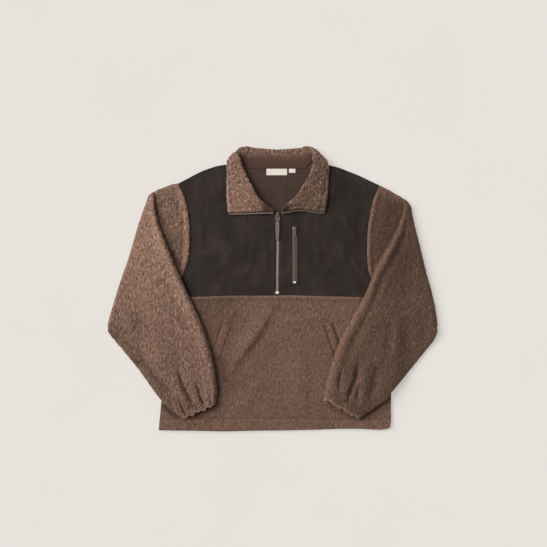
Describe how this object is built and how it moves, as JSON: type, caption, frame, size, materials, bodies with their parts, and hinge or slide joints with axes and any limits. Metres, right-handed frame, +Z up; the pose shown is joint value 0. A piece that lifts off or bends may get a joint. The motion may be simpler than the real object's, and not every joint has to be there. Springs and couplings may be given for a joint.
{
  "type": "half-zip fleece pullover",
  "caption": "Half-zip pile fleece pullover laid flat on its back, sleeves folded over the front, turned-out collar, smooth yoke and a zipped chest pocket.",
  "frame": {"origin": "on the underside of the back panel, on the zip's centre line, 14.4 mm on the collar side of the yoke seam", "axes": "+X across the garment to the viewer's right, +Y towards the collar, +Z up from the surface it lies on"},
  "size_m": [0.7907, 0.6859, 0.0181],
  "materials": {
    "fleece": "high-pile fleece, matt",
    "yoke_shell": "smooth woven, low sheen",
    "zip_tape": "woven tape",
    "zip_coil": "moulded nylon coil",
    "zip_metal": "satin",
    "pull_tab": "soft moulded",
    "label": "woven label, bare"
  },
  "bodies": {
    "garment": {"back": "fleece", "front_lower": "fleece", "yoke_left": "yoke_shell", "yoke_right": "yoke_shell", "sleeve_left": "fleece", "sleeve_right": "fleece", "collar": "fleece", "main_zip_tape": "zip_tape", "main_zip_coil": "zip_coil", "chest_zip_tape": "zip_tape", "collar_zip_left": "zip_coil", "collar_zip_right": "zip_coil", "pocket_welt_left": "fleece", "pocket_welt_right": "fleece", "neck_label": "label", "size_tab": "label", "main_slider": "zip_metal", "chest_slider": "zip_metal", "main_zip_stop": "zip_metal", "chest_zip_stop": "zip_metal"},
    "main_pull": {"main_pull_loop": "zip_metal", "main_pull_tab": "pull_tab"},
    "chest_pull": {"chest_pull": "zip_metal"}
  },
  "joints": [
    {"name": "main_pull_swing", "type": "hinge", "parent": "garment", "child": "main_pull", "pos_m": [0, 0.1806, 0.0118], "axis": [-1, 0, 0], "range_deg": [0, 150]},
    {"name": "chest_pull_swing", "type": "hinge", "parent": "garment", "child": "chest_pull", "pos_m": [0.041, 0.1466, 0.0123], "axis": [-1, 0, 0], "range_deg": [0, 150]}
  ]
}
